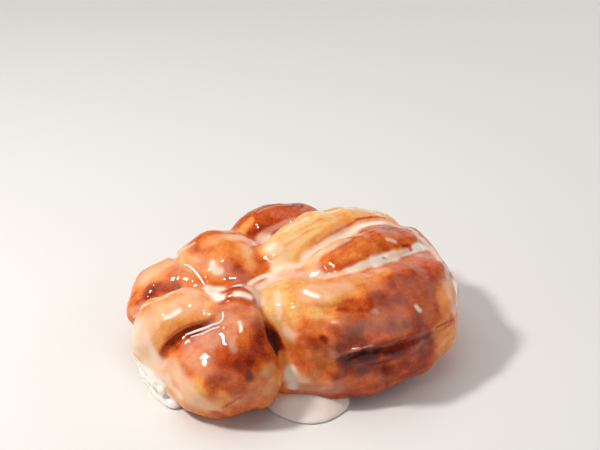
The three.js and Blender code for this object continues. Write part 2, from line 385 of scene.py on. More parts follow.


# Strokes of brown over that, drawn in order: how brown, half width and path.
# Some are painted shade, darkening creases, hollows under overhangs and flanks turned from the key light.
BROWN_STROKES = dict(
    bun_left_end=(0.2, 3.5, (-43, 19, 33), (-40, 14, 34), (-38, 11, 34)),
    bun_top=(0.5, 3, (-36, 16, 37), (-32, 14, 38), (-28, 11, 39)),
    bun_middle=(0.4, 4, (-33, 9, 35), (-29, 5, 35), (-26, 4, 35)),
    bun_right=(0.64, 3.5, (-23, 4, 36), (-20, 3, 35), (-17, 0, 34)),
    bun_red_foot=(0.72, 1.6, (-24, 1, 33), (-20, -1, 33), (-16, -1, 34)),
    bun_orange_foot=(0.55, 2, (-34, 2, 31), (-29, 0, 31), (-24, -1, 32)),
    bun_between=(0.28, 3, (-19, 12, 39), (-16, 9, 38), (-15, 5, 36)),
    bun_right_end=(0.48, 3, (-13, 12, 38), (-11, 6, 36), (-13, 1, 34)),
    left_back_peach=(0.32, 3, (-55, 8, 28), (-52, 9, 30), (-47, 10, 32)),
    left_back_orange=(0.5, 4, (-45, 8, 31), (-41, 4, 31), (-38, 1, 30)),
    # painted shade: darkens the underside of the left back strand where it meets the strand below
    left_back_foot_shade=(0.8, 2.2, (-54, 2, 27), (-49, 3, 28), (-43, 3, 28)),
    left_back_line=(0.68, 1, (-58, -0.5, 23), (-55, 0, 25), (-52, 1.5, 26.5)),
    left_strand_peach=(0.24, 7, (-54, -19, 27), (-45, -21, 34), (-35, -20, 36)),
    left_strand_light=(0.14, 5, (-52, -24, 25), (-48, -25, 29), (-43, -24, 31)),
    left_strand_orange=(0.28, 2, (-44, -26, 27), (-40, -25, 31), (-32, -23, 34)),
    left_strand_end=(0.2, 5, (-55, -21, 24), (-54, -24, 20), (-51, -25, 16)),
    # painted shade: the left crease and its lower wall are darkened where shadow falls in the crease
    left_crease=(0.8, 1.4, (-46, -27.5, 19.5), (-42.5, -25.5, 25), (-27.5, -25, 33.5)),
    left_crease_deepest_shade=(0.92, 0.9, (-45, -26.5, 22), (-41, -24.5, 26.5), (-33, -24, 30)),
    left_crease_shaded_lower_wall=(0.76, 1.6, (-44, -27, 21), (-41, -25, 25), (-34, -24, 29)),
    # painted shade: the flank of the valley right of the bulb, darkened where shadow falls
    bulb_valley_flank_shade=(0.85, 2, (-9, -22, 31), (-6, -25, 26), (-4, -28, 22)),
    cheek_golden=(0.1, 3.4, (3, -24, 37), (6, -25, 37), (11, -26, 37)),
    cheek_left_end=(0.2, 2.4, (-3, -26, 30), (-1, -28, 29), (1, -29, 29)),
    bulb_shoulder=(0.6, 2.8, (-44, -27, 21), (-41, -27, 24), (-38, -28, 26)),
    bulb_middle=(0.4, 4, (-37, -34, 26), (-32, -37, 26), (-29, -41, 25)),
    bulb_red_brown=(0.6, 3.5, (-27, -37, 29), (-24, -40, 27), (-22, -42, 26)),
    # painted shade: the bulb's right flank, turned away from the key light, is darkened
    bulb_flank_shade=(0.66, 4, (-19, -37, 31), (-16, -38, 29), (-12, -38, 28)),
    bulb_round_the_spot=(0.84, 3.4, (-18, -42, 26), (-16, -42, 25), (-15, -42, 25)),
    # painted shade: the neck's right flank, turned away from the key light, is darkened
    neck_right_flank_shade=(0.76, 3.5, (-15, -26, 36), (-14, -30, 34), (-13, -33, 31)),
    neck_front=(0.42, 4.5, (-24, -24, 36), (-21, -28, 35), (-18, -32, 33)),
    bulb_left=(0.3, 5, (-43, -32, 19), (-40, -38, 15), (-32, -44, 13)),
    bulb_golden_foot=(0.22, 4.5, (-34, -44, 19), (-32, -45, 16), (-29, -44, 12)),
    bulb_right_foot=(0.34, 3, (-27, -46, 16), (-24, -46, 16), (-20, -46, 16)),
    bulb_mottling=(0.62, 3.5, (-27, -44, 21), (-23, -44, 21), (-18, -45, 20)),
    bulb_lower_right=(0.46, 4, (-10, -41, 22), (-9, -42, 18), (-11, -43, 13)),
    bulb_side=(0.3, 2.6, (-9, -39, 23), (-6, -38, 20), (-4, -35, 15)),
    bulb_dark_foot=(0.68, 1.6, (-27, -43, 7), (-20, -41, 3), (-13, -41, 7)),
    bulb_burnt_spot=(0.97, 1.5, (-15, -43, 24), (-15, -43, 24), (-15, -43, 23)),
    # painted shade: darkens the crease at the bulb's foot
    bulb_foot_crease_shade=(0.66, 0.5, (-24.5, -45, 10.5), (-21.5, -46, 13.5), (-17.5, -45.5, 16)),
    # painted shade: the two rings round the neck are darkened along their creases
    neck_upper_ring_shade=(0.74, 0.8, (-24.4, -13.9, 38.2), (-21.1, -14.3, 40.3), (-17.6, -14.5, 40.4)),
    neck_lower_ring_shade=(0.66, 1.6, (-25, -19, 37), (-20, -19, 38), (-15, -21, 37)),
    neck_under_the_ring=(0.5, 3.5, (-24, -22, 37), (-19, -22, 38), (-15, -23, 37)),
    # painted shade: the valley right of the bulb is darkened as a shadowed hollow
    bulb_valley=(0.93, 2.2, (-10, -21, 32), (-8, -24, 28), (-6, -30, 24)),
    bulb_valley_foot=(0.3, 2.6, (-4, -29, 20), (-3, -31, 18), (-1, -33, 14)),
    golden_middle=(0.1, 5.5, (-8, -9, 37), (-4, -19, 37), (-4, -22, 34)),
    golden_middle_left=(0.12, 2.6, (-9, -17, 35), (-8, -20, 34), (-5, -22, 33)),
    golden_middle_orange=(0.25, 3, (1, -7, 38), (4, -6, 38), (7, -6, 38)),
    golden_middle_side=(0.22, 3, (-4, -23, 33), (-2, -26, 31), (0, -28, 29)),
    shoulder_peach=(0.24, 5, (7, -18, 41), (13, -19, 41), (20, -18, 41)),
    brow_orange=(0.34, 1.8, (12, -24, 38), (16, -23, 38), (21, -22, 39)),
    brow_right_end=(0.58, 2.2, (18, -23, 38), (21, -22, 39), (25, -23, 39)),
    # painted shade: a dark line under the brow where its edge shades the skin
    shade_under_the_brow=(0.82, 1, (16.5, -24, 37.5), (20.5, -24, 37), (24.5, -24.5, 36.5)),
    cheek_orange=(0.45, 2.6, (5, -28, 34), (8, -29, 34), (11, -29, 34)),
    cheek_right_end=(0.6, 2, (14, -30, 34), (16, -30, 34), (19, -30, 33)),
    # painted shade: darkens the skin under the cheek, which overhangs it
    shade_under_the_cheek=(0.64, 2.4, (4, -31, 29), (6, -32, 29), (9, -32, 29)),
    deepest_shade_under_the_cheek=(0.8, 0.9, (10.5, -31.5, 31), (11, -31.5, 31), (12, -32, 30)),
    shoulder_orange_brown=(0.52, 4, (21, -14, 42), (25, -12, 42), (28, -16, 41)),
    shoulder_mauve_brown=(0.76, 3.5, (30, -20, 39), (33, -19, 38), (38, -19, 37)),
    shoulder_rosy_brown=(0.66, 5, (37, -11, 41), (45, -10, 38), (52, -7, 34)),
    flap_top=(0.76, 3, (21, -29, 33), (25, -28, 32), (29, -28, 32)),
    # painted shadow: the shelf under the flap is darkened to maroon
    shelf_maroon_shadow=(0.84, 3, (18, -34, 17), (21, -34, 17), (24, -32, 17)),
    shelf_left_end=(0.74, 2.5, (14, -34, 17), (16, -34, 16), (18, -35, 15)),
    shoulder_top=(0.6, 3, (42, 2, 40), (48, 7, 37), (53, 1, 37)),
    shoulder_red_brown=(0.62, 3.2, (47, -15, 35), (49, -16, 32), (50, -18, 30)),
    shoulder_right_end=(0.34, 3.6, (57, -5, 32), (56, -9, 30), (56, -13, 28)),
    above_the_flap=(0.62, 4, (28, -24, 37), (34, -23, 36), (40, -22, 34)),
    flap_left=(0.74, 3.2, (17, -32, 27), (21, -31, 28), (26, -30, 29)),
    flap_right=(0.64, 2.6, (27, -29, 31), (33, -29, 31), (39, -27, 30)),
    # painted shadow: the hollow under the flap's lip is darkened, darkest at its left
    shade_under_the_flap=(1, 2.8, (18, -32, 21), (23, -33, 22), (27, -32, 23)),
    shade_under_the_flap_right=(0.94, 2, (27, -32, 24), (32, -32, 24), (36, -31, 23)),
    shade_under_the_flap_foot=(0.86, 3.5, (17, -33, 18), (21, -33, 19), (24, -32, 19)),
    # painted shade: darkens the crease right of the flap
    shade_in_the_crease_right_of_the_flap=(0.84, 1, (36, -30, 25), (41, -27, 25.5), (47, -22.5, 24.5)),
    spot_right_of_the_flap=(0.88, 1.1, (40, -24.5, 31.5), (41, -24, 31), (42, -23.5, 31)),
    front_face_tan=(0.5, 3.5, (4, -31, 26), (6, -33, 22), (7, -34, 17)),
    front_face_foot=(0.36, 3.5, (0, -33, 15), (6, -34, 15), (11, -34, 14)),
    front_face_edge=(0.52, 2.2, (13, -32, 26), (13, -32, 23), (14, -32, 19)),
    shelf_dark_red=(0.86, 3.2, (32, -31, 21), (34, -29, 16), (36, -29, 13)),
    shelf_red_brown=(0.72, 4, (38, -27, 17), (42, -26, 15), (46, -23, 11)),
    shelf_orange_foot=(0.58, 3, (21, -34, 13), (25, -33, 12), (29, -33, 11)),
    # painted shade: the shelf's foot is darkened where it turns under towards the ground
    shelf_foot_shade=(0.7, 1.4, (20.5, -33, 7.5), (26, -33, 8.5), (31.5, -32, 10)),
    shelf_foot_right_shade=(0.7, 1.4, (33, -31, 12), (37.5, -28.5, 11), (43.5, -23.5, 8.5)),
    shelf_end=(0.34, 4.5, (54, -17, 23), (57, -14, 16), (57, -12, 11)),
    shelf_by_the_end=(0.8, 3.4, (43, -28, 24), (46, -24, 22), (49, -21, 16)),
    # painted shade: darkens the crease at the right-hand end
    right_hand_crease_shade=(0.76, 0.6, (52, -18.5, 25.5), (55.5, -15.5, 25), (59.5, -9, 22.5)),
    brown_ridge_tip=(0.2, 3, (4, 5, 38), (7, 0, 40), (9, -2, 40)),
    brown_ridge_slope=(0.15, 2.5, (7, 3, 40), (14, 8, 43), (22, 21, 40)),
    brown_ridge_middle=(0.42, 4, (19, 2, 44), (24, 3, 45), (29, 5, 45)),
    brown_ridge_top=(0.5, 3, (26, 11, 46), (32, 12, 45), (37, 18, 42)),
    brown_ridge_right=(0.66, 2, (41, 16, 41), (44, 17, 40), (47, 19, 38)),
    golden_ridge=(0.04, 5, (-7, 12, 41), (-1, 13, 42), (5, 17, 44)),
    golden_ridge_gold_band=(0.2, 1.8, (2, 8, 38), (10, 15, 42), (22, 28, 43)),
    golden_ridge_end=(0.22, 1.5, (19, 26, 43), (24, 30, 42), (31, 34, 40)),
    golden_ridge_edge=(0.52, 0.5, (9, 13, 41), (16.5, 19.5, 42), (24.5, 27.5, 42)),
    golden_ridge_far_edge=(0.66, 0.5, (24, 27.5, 42), (29.5, 32, 40.5), (35.5, 35.5, 38)),
    golden_ridge_streak=(0.24, 0.6, (-1.5, 15.5, 42.5), (4, 18.5, 44.5), (11, 25, 44)),
    golden_ridge_streak_2=(0.22, 0.6, (-3, 11, 41), (3, 15, 43), (11, 20.5, 44)),
    front_valley_pale=(0.2, 1.3, (9.5, -4, 38.5), (17, -7, 40.5), (27.5, -0.5, 41)),
    front_valley_patch=(0.2, 1.8, (28, 0, 41), (33, 3, 41), (40, 9, 40)),
    shoulder_edge=(0.36, 3.5, (15, -14, 42), (23, -12, 42), (33, -5, 41)),
    curl_left=(0.62, 3, (-16, 39, 32), (-13, 39, 34), (-9, 42, 35)),
    curl_foot=(0.7, 2, (-16, 37, 30), (-13, 36, 31), (-10, 37, 33)),
    curl_top=(0.64, 3, (-8, 42, 35), (-4, 43, 36), (0, 42, 37)),
    curl_rosy=(0.66, 3, (-6, 39, 35), (-3, 38, 35), (0, 38, 36)),
    curl_left_end=(0.25, 2, (-20, 39, 29), (-19, 40, 31), (-17, 41, 32)),
    brown_ridge_right_line=(0.82, 0.5, (41, 12.5, 40.5), (44.5, 15, 39), (48.5, 21, 35.5)),
    front_valley_line=(0.7, 0.5, (36, 4, 39.5), (40.5, 9, 39), (46.5, 15, 37)),
    bun_rim=(0.3, 2.6, (-33, 17, 39), (-27, 18, 40), (-21, 19, 40)),
    above_the_flap_left=(0.6, 3, (19, -27, 36), (24, -26, 36), (29, -25, 35)),
    brown_ridge_nose=(0.5, 2.4, (11, -1, 41), (12, -2, 41), (13, -4, 40)),
    flap_left_end=(0.76, 2, (16, -31, 33), (17, -31, 33), (19, -31, 32)),
)
# Strokes of glaze: how thickly glazed, half width and path.
# Some are painted light: white spots where the key light glints and gleams, and white lines along the
# outline for the rim light.
# Strokes near 0 in creases and hollows keep the glaze off the painted shade.
GLAZE_STROKES = dict(
    bun_milky_glint=(0.7, 2, (-37, 14, 36), (-36, 12, 36), (-34, 11, 36)),
    bun_middle=(0.42, 4.5, (-32, 8, 35), (-29, 5, 35), (-26, 4, 34)),
    bun_top=(0.25, 4, (-36, 15, 37), (-32, 15, 38), (-28, 12, 39)),
    bun_cream_glint=(0.8, 1.5, (-30, 7, 36), (-29, 5, 35), (-27, 4, 35)),
    bulb_middle=(0.05, 4, (-26, -37, 28), (-24, -40, 27), (-22, -42, 26)),
    bulb_mottled=(0.15, 2.5, (-27, -43, 23), (-24, -43, 23), (-21, -43, 23)),
    bun_right=(0.45, 2.6, (-18, 13, 39), (-16, 9, 38), (-15, 6, 36)),
    left_back_milky=(0.5, 3.5, (-56, 9, 28), (-52, 11, 30), (-48, 12, 32)),
    left_strand_film=(0.5, 6, (-53, -20, 29), (-46, -20, 34), (-36, -19, 37)),
    left_strand_top=(0.5, 2, (-46, -9, 33), (-41, -10, 36), (-35, -13, 38)),
    left_strand_end=(0.68, 5, (-58, -12, 20), (-55, -22, 24), (-52, -25, 18)),
    left_strand_bare=(0.12, 1.8, (-45, -25, 30), (-40, -24, 32), (-32, -24, 33)),
    # keeps the glaze off the painted shade in the left crease
    left_crease_bare=(0, 2, (-44, -27, 21), (-41, -25, 25), (-33, -24, 29)),
    left_strand_edge=(0.85, 0.6, (-59, -2, 18), (-52.5, -8.5, 30.5), (-42, -8.5, 35)),
    left_strand_edge_2=(0.8, 0.5, (-55.5, -11, 28.5), (-50.5, -12, 32.5), (-45, -11.5, 34.5)),
    left_foot_white=(1, 3.5, (-59, -9, 13), (-56, -20, 11.5), (-47.5, -30, 9.5)),
    left_foot_below=(0.9, 3.5, (-54.5, -12, 4), (-51, -22, 4), (-44, -31, 4)),
    left_foot_milky=(0.7, 4, (-58, -14, 19), (-53, -24, 18), (-45, -32, 15)),
    bulb_left=(0.55, 4.5, (-43, -33, 18), (-38, -39, 17), (-33, -44, 13)),
    bulb_foot=(0.5, 3.5, (-36, -43, 12), (-33, -43, 11), (-27, -45, 12)),
    bulb_low_right=(0.25, 4.5, (-22, -46, 14), (-17, -45, 16), (-13, -44, 19)),
    bulb_right=(0.3, 3, (-9, -40, 22), (-8, -40, 19), (-8, -41, 15)),
    bulb_peach_film=(0.4, 4, (-36, -35, 26), (-32, -38, 26), (-30, -41, 25)),
    bulb_top=(0.4, 3, (-37, -29, 26), (-34, -29, 28), (-30, -30, 30)),
    # painted highlight: a pale pink streak on the bulb where the key light gleams
    bulb_painted_highlight=(0.45, 1.5, (-21, -33, 33), (-21, -35, 32), (-20, -37, 30)),
    neck_rosy_film=(0.35, 5, (-23, -23, 37), (-19, -23, 37), (-15, -25, 37)),
    neck_front=(0.45, 4, (-20, -28, 35), (-25, -31, 33), (-29, -32, 30)),
    between_the_rings=(0.85, 1.4, (-20, -17.5, 40), (-17.5, -17.5, 39.5), (-15, -17.5, 38.5)),
    left_of_the_neck=(0.85, 2.2, (-32, -3, 31), (-28, -13, 36), (-26, -16, 38)),
    right_of_the_neck=(0.7, 2.2, (-15, -12, 39), (-13, -14, 37), (-12, -17, 35)),
    # painted highlight: a pale smear on the golden middle where the key light gleams
    golden_middle_painted_highlight=(0.6, 1.6, (-6, -14, 38), (-5, -19, 37), (-5, -22, 33)),
    golden_middle_milky=(0.6, 2.4, (-2, -26, 30), (-1, -28, 30), (1, -29, 29)),
    shoulder_peach_film=(0.5, 5, (6, -17, 41), (11, -18, 41), (18, -16, 41)),
    shoulder_edge=(0.4, 3, (17, -10, 41), (24, -8, 41), (31, -4, 41)),
    shoulder_mauve=(0.27, 4.5, (31, -15, 41), (40, -12, 39), (51, -8, 35)),
    shoulder_low=(0.25, 4, (30, -21, 39), (40, -18, 37), (51, -15, 31)),
    above_the_flap_rosy=(0.35, 3.5, (28, -26, 35), (34, -25, 34), (39, -24, 33)),
    shoulder_end=(0.62, 3, (56, 0, 35), (59, -4, 31), (59, -8, 26)),
    # white glaze along the right-hand outline, laid on so thickly that it also paints the rim light there
    right_hand_painted_rim_light=(0.95, 2.4, (60, 1, 31), (61, -3, 28), (61, -2, 21)),
    right_hand_edge=(0.55, 2, (55, 0, 35), (58, -2, 33), (60, -5, 29)),
    # painted highlights: white spots of glaze at the key light's glints on the shoulder
    shoulder_painted_glint=(0.8, 1, (44, -17.5, 34.5), (45, -18, 33.5), (45.5, -18, 33)),
    shoulder_painted_glint_2=(0.5, 0.8, (28.5, -24, 37), (29, -23.5, 37), (30, -24, 36.5)),
    shoulder_gleam=(1, 0.8, (4.5, -16.5, 40.5), (6.5, -18.5, 40.5), (9, -20, 41)),
    neck_gleam=(0.95, 0.6, (-18.5, -28, 35.5), (-18, -30, 34.5), (-18, -31.5, 34)),
    left_strand_gleam=(0.85, 0.8, (-45, -22.5, 33), (-42.5, -22, 34), (-40, -20.5, 35)),
    # painted highlight: a white spot of glaze at the key light's glint on the cheek
    cheek_painted_glint=(0.7, 0.7, (14.5, -28, 35.5), (15, -28, 35.5), (16, -28, 35.5)),
    flap_lip=(0.5, 0.6, (16, -32, 24), (22, -33.5, 27), (28, -33, 29)),
    # keeps the glaze off the painted shadow under the flap
    under_the_flap_bare=(0, 3.6, (18, -32, 21), (28, -32, 22), (39, -29, 24)),
    shelf_foot=(0.4, 3.5, (2, -33, 12), (9, -34, 10), (16, -35, 12)),
    foot_of_the_valley=(0.6, 2.4, (-1, -32, 16), (1, -33, 15), (4, -34, 14)),
    side_of_the_valley=(0.8, 2.4, (-1, -32, 16), (-1, -33, 14), (0, -33, 11)),
    shelf_end=(0, 4, (56, -16, 20), (59, -11, 13), (57, -12, 10)),
    shelf_rosy=(0.3, 2.5, (21, -33, 17), (26, -32, 15), (31, -31, 14)),
    cross_of_the_valleys=(0.8, 2.8, (-8, 12, 41), (-6, 7, 39), (-5, 3, 36)),
    cross_lower_arm=(0.7, 2.2, (-14, -10, 37), (-9, -2, 34), (-4, 0, 36)),
    cross_right_arm=(0.6, 2.2, (-3, 1, 36), (3, -2, 38), (9, -3, 39)),
    bun_right_end=(0, 2.4, (-13, 9, 37), (-11, 5, 36), (-13, 1, 34)),
    ridges_valley_soft_edge=(0.4, 3, (6, 7, 38), (13, 12, 41), (20, 22, 40)),
    golden_ridge_tip=(0.5, 3.4, (-6, 7, 39), (-4, 10, 41), (0, 14, 42)),
    cross_top=(0.7, 2, (-1, 4, 37), (2, 4, 37), (4, 5, 38)),
    brow_bare=(0.05, 2.4, (18, -21, 40), (22, -21, 39), (26, -22, 39)),
    shoulder_top=(0.2, 3, (42, 2, 40), (48, 7, 37), (53, 1, 37)),
    # white glaze along the upper right-hand outline that also paints the rim light
    right_hand_painted_rim_light_upper=(0.65, 1.4, (56, 16, 31), (57, 4, 35.5), (59, -0.5, 32)),
    curl_rosy_film=(0.3, 3, (-6, 42, 36), (-2, 41, 36), (3, 41, 37)),
    ridges_valley=(0.72, 1.6, (4, 8, 38), (11, 13, 40), (18, 19, 40)),
    ridges_valley_far_end=(0.82, 1.7, (19, 19, 40), (24, 24, 40), (36, 32, 38)),
    brown_ridge_slope=(0.62, 2.7, (7, 4, 40), (13, 6, 43), (20, 11, 44)),
    brown_ridge_gleam=(0.6, 1.2, (35, 11, 44), (36.5, 12, 43.5), (38, 12.5, 42.5)),
    brown_ridge_tip=(0.5, 2.3, (6, 5, 39), (8, 2, 40), (9, 0, 41)),
    front_valley=(0.85, 1.4, (19, -5.5, 41), (24, -2.5, 41), (29, 1, 41.5)),
    front_valley_patch=(0.95, 2.2, (30, 1, 41), (33, 3, 41), (37, 6, 40)),
    front_valley_patch_end=(0.72, 1.3, (36.5, 5.5, 40.5), (39.5, 8, 40), (43, 12, 38.5)),
    front_valley_line=(0.8, 0.6, (35, 3.5, 39.5), (40.5, 8.5, 38.5), (49.5, 18.5, 34.5)),
    front_valley_end=(0.95, 1.6, (46, 15, 38), (49, 20, 35), (53, 23, 32)),
    golden_ridge_edge=(0.7, 1.4, (-6, 19, 41), (0, 21, 43.5), (5.5, 26.5, 43.5)),
    golden_ridge_far=(0.8, 1, (9.5, 33.5, 42), (15, 33, 42), (20.5, 35.5, 42.5)),
    # white glaze along the golden ridge's far outline that also paints the rim light
    golden_ridge_far_painted_rim_light=(0.75, 1, (20.5, 35.5, 42.5), (27, 39.5, 39), (33.5, 36.5, 38.5)),
    golden_ridge_streak=(0.3, 0.9, (3, 13, 42), (10, 18.5, 43.5), (18.5, 28.5, 43)),
    golden_ridge_streak_2=(0.4, 0.8, (-4, 14, 42), (1.5, 16.5, 43.5), (9, 22.5, 44.5)),
    # white glaze along the right back strand's far outline that also paints the rim light
    right_back_painted_rim_light=(0.65, 1.2, (36, 33.5, 37), (42.5, 34, 34.5), (48, 26, 36)),
    right_back=(0.7, 2, (49, 25, 35), (52, 23, 33), (55, 18, 31)),
    # white glaze along the bun's left outline that also paints the rim light
    bun_left_painted_rim_light=(0.6, 1, (-44, 21, 30.5), (-41.5, 18.5, 34.5), (-37.5, 19, 37)),
    curl_milky_foot=(0.5, 1.6, (-12, 35, 30), (-7, 36, 33), (0, 37, 36)),
    # white glaze along the curl's outline that also paints the rim light
    curl_painted_rim_light=(0.45, 1, (-14, 45.5, 34), (-9, 47, 35.5), (-1, 47, 36.5)),
    curl_foot=(0.75, 2.2, (-15, 17, 38), (-13, 34, 28), (-10, 33, 30)),
    under_the_bun=(0.85, 1.2, (-30.5, -11, 36), (-26, -4, 32), (-18.5, -14, 40.5)),
    under_the_bun_right=(0.8, 1.2, (-19, -10.5, 39), (-13.5, -0.5, 34), (-8.5, 1.5, 34.5)),
    front_valley_left=(0.6, 1.2, (8.5, -3.5, 38.5), (13.5, -5.5, 39.5), (19, -6, 41)),
    # keeps the glaze off the painted shade in the valley right of the bulb
    bulb_valley_bare=(0, 2.2, (-10, -20, 33), (-9, -23, 29), (-6, -27, 25)),
    # keep the glaze off the painted shade in the neck's rings
    neck_upper_ring_shade=(0.05, 0.8, (-24.4, -13.9, 38.2), (-21.1, -14.3, 40.3), (-17.6, -14.5, 40.4)),
    neck_lower_ring_shade=(0.12, 1.2, (-24.5, -19, 37), (-20, -19, 38), (-15.5, -20.5, 37.5)),
    flap_left_edge=(0.5, 1.8, (13, -32, 30), (14, -32, 27), (15, -32, 24)),
    bun_rim=(0.4, 2.6, (-30, 18, 40), (-25, 20, 40), (-21, 19, 40)),
    bun_far_right=(0.55, 2.2, (-24, 19, 40), (-20, 20, 39), (-16, 17, 39)),
    beside_the_neck=(0.8, 2, (-31, -1, 31), (-29, -2, 31), (-26, -3, 32)),
    bun_foot=(0.1, 2, (-34, 3, 32), (-29, 1, 32), (-24, 0, 32)),
    back_run_of_glaze=(0.55, 2, (15, 47, 30), (17, 50, 22), (18, 50, 14)),
    back_second_run=(0.5, 1.8, (38, 42, 28), (40, 44, 20), (41, 43, 12)),
    curl_run_at_the_back=(0.5, 1.8, (-8, 54, 26), (-9, 56, 19), (-9, 54, 12)),
    right_end_run=(0.5, 2, (60, -4, 24), (60.5, 0, 17), (58, 2, 9)),
    right_end_second_run=(0.4, 1.8, (59, 12, 26), (60, 14, 18), (58, 15, 10)),
    flap_top=(0.35, 3, (19, -29, 35), (25, -28, 33), (34, -28, 32)),
    # keeps most glaze off the painted shadow on the shelf under the flap
    shelf_maroon_bare=(0.2, 3, (16, -33, 17), (20, -34, 17), (24, -32, 17)),
    # keeps the glaze off the painted shade under the cheek
    cheek_bare=(0.05, 2.8, (4, -31, 28), (8, -32, 29), (12, -32, 29)),
    # keeps the glaze off the painted shade under the brow
    under_the_brow_bare=(0.05, 2, (12, -24, 38), (19, -23, 37), (25, -24, 37)),
    bulb_left_rim=(0.7, 2.2, (-45, -32, 13), (-43, -34, 11), (-40, -39, 11)),
    left_back_low_end=(0.5, 1.8, (-60, -1, 20), (-58, -1, 21), (-56, -1, 23)),
)
# Grey smudges: how grey, half width and path
GREY_STROKES = dict(
    shoulder_mauve=(0.2, 4, (31, -18, 39), (39, -14, 39), (48, -10, 36)),
    burnt_spot=(0.8, 1.4, (-15.5, -43, 24), (-15, -43, 23.5), (-15, -43, 22.5)),
    bulb=(0.35, 3, (-27, -44, 21), (-23, -44, 21), (-18, -45, 20)),
    over_the_flap=(0.55, 2.2, (25, -28, 32), (27, -29, 31), (29, -29, 31)),
    flap_mauve=(0.35, 3.5, (15, -32, 27), (20, -31, 28), (27, -30, 29)),
    in_the_crease=(0.6, 1.2, (45.5, -24, 25), (47, -23, 24), (48, -22, 22.5)),
    right_of_the_crease=(0.5, 1.3, (48, -21.5, 26), (50, -20.5, 24), (52.5, -19, 23.5)),
    flap_right=(0.2, 3, (28, -29, 31), (34, -29, 31), (39, -26, 31)),
    ring_in_the_glaze=(0.75, 0.5, (33.5, 3.5, 41), (34, 4, 40.5), (35, 4, 40.5)),
    shelf_mauve=(0.25, 2.5, (17, -33, 17), (21, -34, 16), (23, -33, 16)),
)

WANDER_SIZE = 3.5  # size of the waves in a stroke's ragged edges
WANDER = 0.3  # how far they wander over its half width,
MOST_WANDER = 0.9  # and at most
WHOLE = 0.4  # it is whole out to this share of its half width,
FADED = 1.6  # and gone at this one


def draw_strokes(strokes, values, points):
    """The values with the strokes drawn over them, with ragged edges."""
    wander = np.stack([lattice_noise(points, WANDER_SIZE, seed) for seed in (11, 12, 13)], 1)
    laid = laid_on_skin(grooved_distance, [path for _, _, *path in strokes.values()])
    for (value, width, *_), beads in zip(strokes.values(), laid):
        ragged = points + min(WANDER * width, MOST_WANDER) * wander
        gap, _ = curve_distance(ragged, beads, reach=FADED * width)
        values = values + (value - values) * smooth_step(FADED * width, WHOLE * width, gap)
    return values


# How strongly each strand shows fine lengthwise wrinkles
WRINKLED = dict(golden_ridge=1.0, brown_ridge=0.5, front_shoulder=0.5, back_curl=0.4)
WRINKLED_ELSE = 0.25
WRINKLE_LENGTH = 14  # over its width
STRANDS_APART = 7.0  # keeps their wrinkles from being alike
LEAST_SHARE = 0.02  # of a strand that shows its wrinkles

# Noise in layers: the weight, size in millimetres and seed of each
WRINKLE_NOISE = [(0.6, 1.6, 31), (0.4, 0.8, 32)]
PATCHY_NOISE = [(0.6, 9.0, 23), (0.6, 4.0, 24), (0.4, 2.0, 25)]
CLOUDY_NOISE = [(0.6, 6.0, 21), (0.4, 2.5, 22)]


def wound_on_strand(points, place, number, strand):
    """Where the points are round a strand and along it, and where its own noise starts."""
    beads = bezier(strand["path"], STRAND_STEPS)
    run = (beads[-1] - beads[0]) / np.linalg.norm(beads[-1] - beads[0])
    sideways = np.cross(run, (0, 0, 1))
    sideways /= np.linalg.norm(sideways)
    upward = np.cross(sideways, run)
    steps = np.linspace(0, 1, len(beads))
    offset = points - np.stack([np.interp(place, steps, line) for line in beads.T], 1)
    around = np.arctan2(offset @ sideways, offset @ upward) * strand["radius"][1]
    return np.stack([around, points @ run / WRINKLE_LENGTH, np.full(len(points), STRANDS_APART * number)], 1)


def wrinkles(points, shares, places):
    """Fine wrinkles along every strand: noise that changes faster round it than along it."""
    total = np.zeros(len(points))
    for i, (name, strand) in enumerate(STRANDS.items()):
        chosen = shares[i] > LEAST_SHARE
        wound = wound_on_strand(points[chosen], places[i][chosen], i, strand)
        strength = WRINKLED.get(name, WRINKLED_ELSE) * shares[i][chosen]
        total[chosen] += strength * noise_sum(wound, WRINKLE_NOISE)
    return total


VALLEY_BLEND = 7.0  # a valley lies below the strands melted as broadly as this,
VALLEY_DEPTH = 1.8  # and is at its deepest from this far below
VALLEY_GLAZE = 0.25  # how much more glaze lies in the high valleys
FOOT_BROWN = 0.1  # how much browner the foot is
BROWN_PATCHES = 0.13  # how strongly noise and wrinkles show in the brown,
BROWN_WRINKLES = 0.22
GLAZE_CLOUDS = 0.12  # in the glaze
GLAZE_WRINKLES = 0.12
WRINKLE_HEIGHT = 0.22  # and in the relief, in millimetres
LUMP_HEIGHT = 0.08
GRAIN_HEIGHT = 0.05  # where the skin is bare


